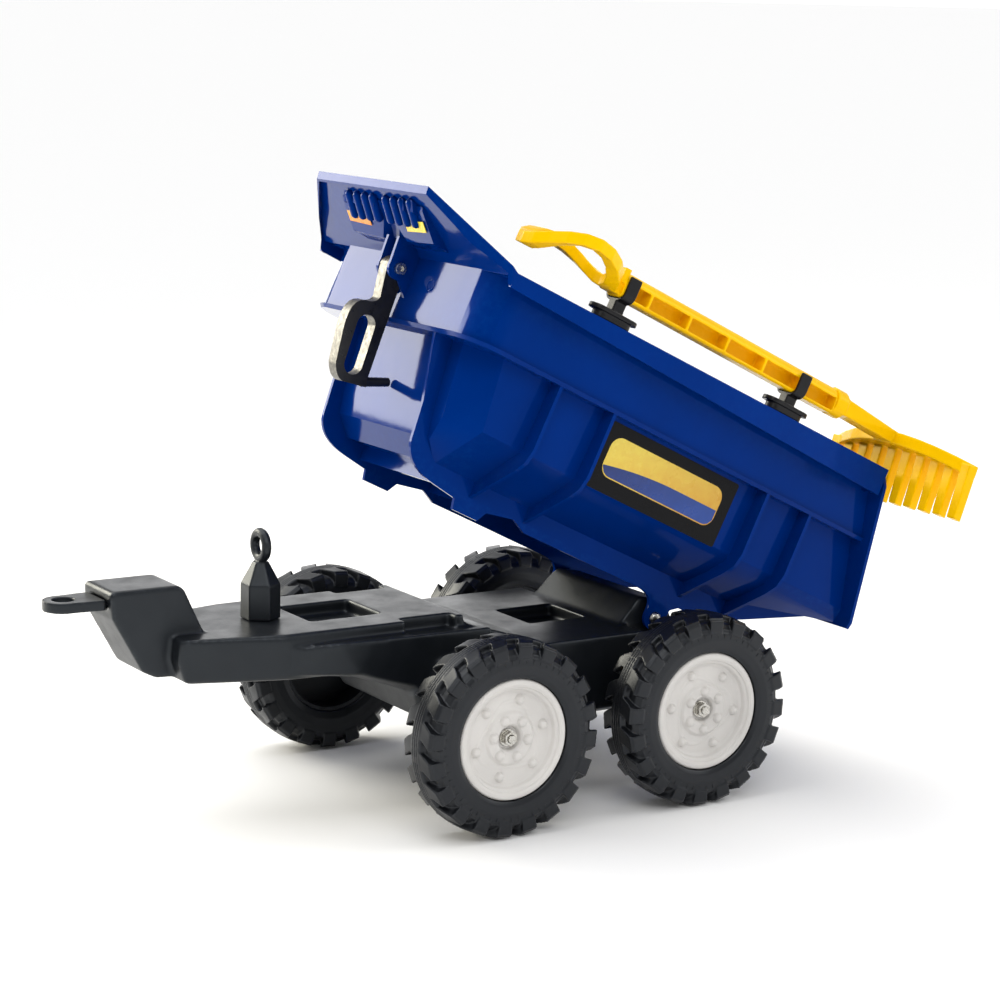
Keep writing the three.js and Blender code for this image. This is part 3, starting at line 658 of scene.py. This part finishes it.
# ---------- lamp blocks ----------
def lamp_bars():
    """Four rounded upright bars on the upper edge of each lamp block."""
    for hand, side in SIDES:
        builder = bmesh.new()
        for across in (13, 29, 45, 61):
            add_capsule(builder, (451, across * side, 269), (436, across * side, 254), 5)
        bars = new_piece(f"lamp_bars_{hand}", builder, "blue")
        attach(bars, "tub")


def add_capsule(builder, start, end, radius):
    """A rod with round ends between two points of the tub's frame."""
    first, last = tub_point(*start), tub_point(*end)
    axis = (last - first).normalized()
    across = (tub_point(0, 1, 0) - tub_point(0, 0, 0)).normalized()
    third = axis.cross(across)
    sides = 16
    rings = []
    for centre, direction, angles in ((first, -1, (86, 65, 40, 20, 0)), (last, 1, (0, 20, 40, 65, 86))):
        for degrees in angles:
            angle = math.radians(degrees)
            middle = centre + axis * direction * radius * MM * math.sin(angle)
            ring_radius = radius * MM * math.cos(angle)
            rings.append([middle + ring_radius * (math.cos(turn) * across + math.sin(turn) * third)
                          for turn in (2 * math.pi * i / sides for i in range(sides))])
    add_block(builder, rings)


# ---------- stage ----------
def floor_material():
    material = bpy.data.materials.new("floor_pale")
    material.use_nodes = True
    shader = material.node_tree.nodes["Principled BSDF"]
    shader.inputs["Base Color"].default_value = (0.93, 0.93, 0.93, 1)
    shader.inputs["Roughness"].default_value = 0.9
    shader.inputs["Specular IOR Level"].default_value = 0.1
    return material


def stage():
    """A plain floor, in metres, that reaches past the horizon of the view."""
    builder = bmesh.new()
    reach = 3000
    corners = [builder.verts.new((x * reach, y * reach, 0)) for x, y in ((-1, -1), (1, -1), (1, 1), (-1, 1))]
    builder.faces.new(corners)
    mesh = bpy.data.meshes.new("floor")
    builder.to_mesh(mesh)
    mesh.materials.append(floor_material())
    add_object("floor", mesh)


def backdrop_light():
    """An even pale surround that is brighter in a narrow band at the horizon."""
    surround = bpy.data.worlds.new("surround")
    surround.use_nodes = True
    background = surround.node_tree.nodes["Background"]
    background.inputs["Strength"].default_value = 0.47
    tree = surround.node_tree
    height = tree.nodes.new("ShaderNodeSeparateXYZ")
    tree.links.new(tree.nodes.new("ShaderNodeTexCoord").outputs["Generated"], height.inputs[0])
    fade = tree.nodes.new("ShaderNodeMapRange")
    for socket, number in zip(fade.inputs[1:5], (0.01, 0.08, 2.4, 1)):
        socket.default_value = number
    tree.links.new(height.outputs["Z"], fade.inputs[0])
    tree.links.new(fade.outputs[0], background.inputs["Color"])
    bpy.context.scene.world = surround


def aim(thing, target):
    """Turns a light so that it points at a place."""
    direction = target - thing.location
    thing.rotation_euler = direction.to_track_quat("-Z", "Y").to_euler()


def softbox(name, place, target, width, height, power, colour=(1, 1, 1)):
    """A flat light, its sides in metres and its power in watts."""
    data = bpy.data.lights.new(name, "AREA")
    data.color = colour
    data.shape = "RECTANGLE"
    data.size = width
    data.size_y = height
    data.energy = power
    light = add_object(name, data)
    light.location = place
    aim(light, target)


def lights():
    backdrop_light()
    sun_data = bpy.data.lights.new("sky_soft", "SUN")
    sun_data.energy = 2.0
    sun_data.angle = math.radians(70)
    sun = add_object("sky_soft", sun_data)
    sun.rotation_euler = (math.radians(18), math.radians(12), 0)
    middle = world(60, 0, 260)
    softbox("front_panel", world(1350, -2150, 1150), world(250, 0, 420), 1.5, 1.2, 60, (1, 0.95, 0.8))
    softbox("back_low", world(-1280, -2160, 716), world(100, 0, 235), 1.8, 0.7, 7)
    softbox("left_key", world(900, 2300, 2300), middle, 1.8, 1.2, 24)
    softbox("rear_rim", world(-2300, 1500, 1700), middle, 1.2, 1.6, 18)


def camera():
    """At the angle the trailer is seen from: ahead and to the left of it, looking down a little."""
    yaw = 0.565
    pitch = 0.185
    roll = 0.023
    focal_in_widths = 2.69017
    sensor = 36
    forward = Vector((-math.sin(yaw) * math.cos(pitch), -math.cos(yaw) * math.cos(pitch), -math.sin(pitch)))
    right = forward.cross(Vector((0, 0, 1))).normalized()
    up = right.cross(forward)
    turned_right = math.cos(roll) * right + math.sin(roll) * up
    turned_up = -math.sin(roll) * right + math.cos(roll) * up
    data = bpy.data.cameras.new("view")
    data.sensor_width = sensor
    data.lens = focal_in_widths * sensor
    data.clip_end = 10000
    viewer = add_object("view", data)
    axes = Matrix((turned_right, turned_up, -forward)).transposed().to_4x4()
    viewer.matrix_world = Matrix.Translation(world(1491.63, 2337.42, 813.09)) @ axes
    bpy.context.scene.camera = viewer


bpy.context.scene.view_settings.view_transform = "Standard"
finish_packed_parts()
wheel_pieces()
for HAND, SIDE in SIDES:
    side_label(HAND, SIDE)
ring_mark()
lamp_bars()
stage()
lights()
camera()
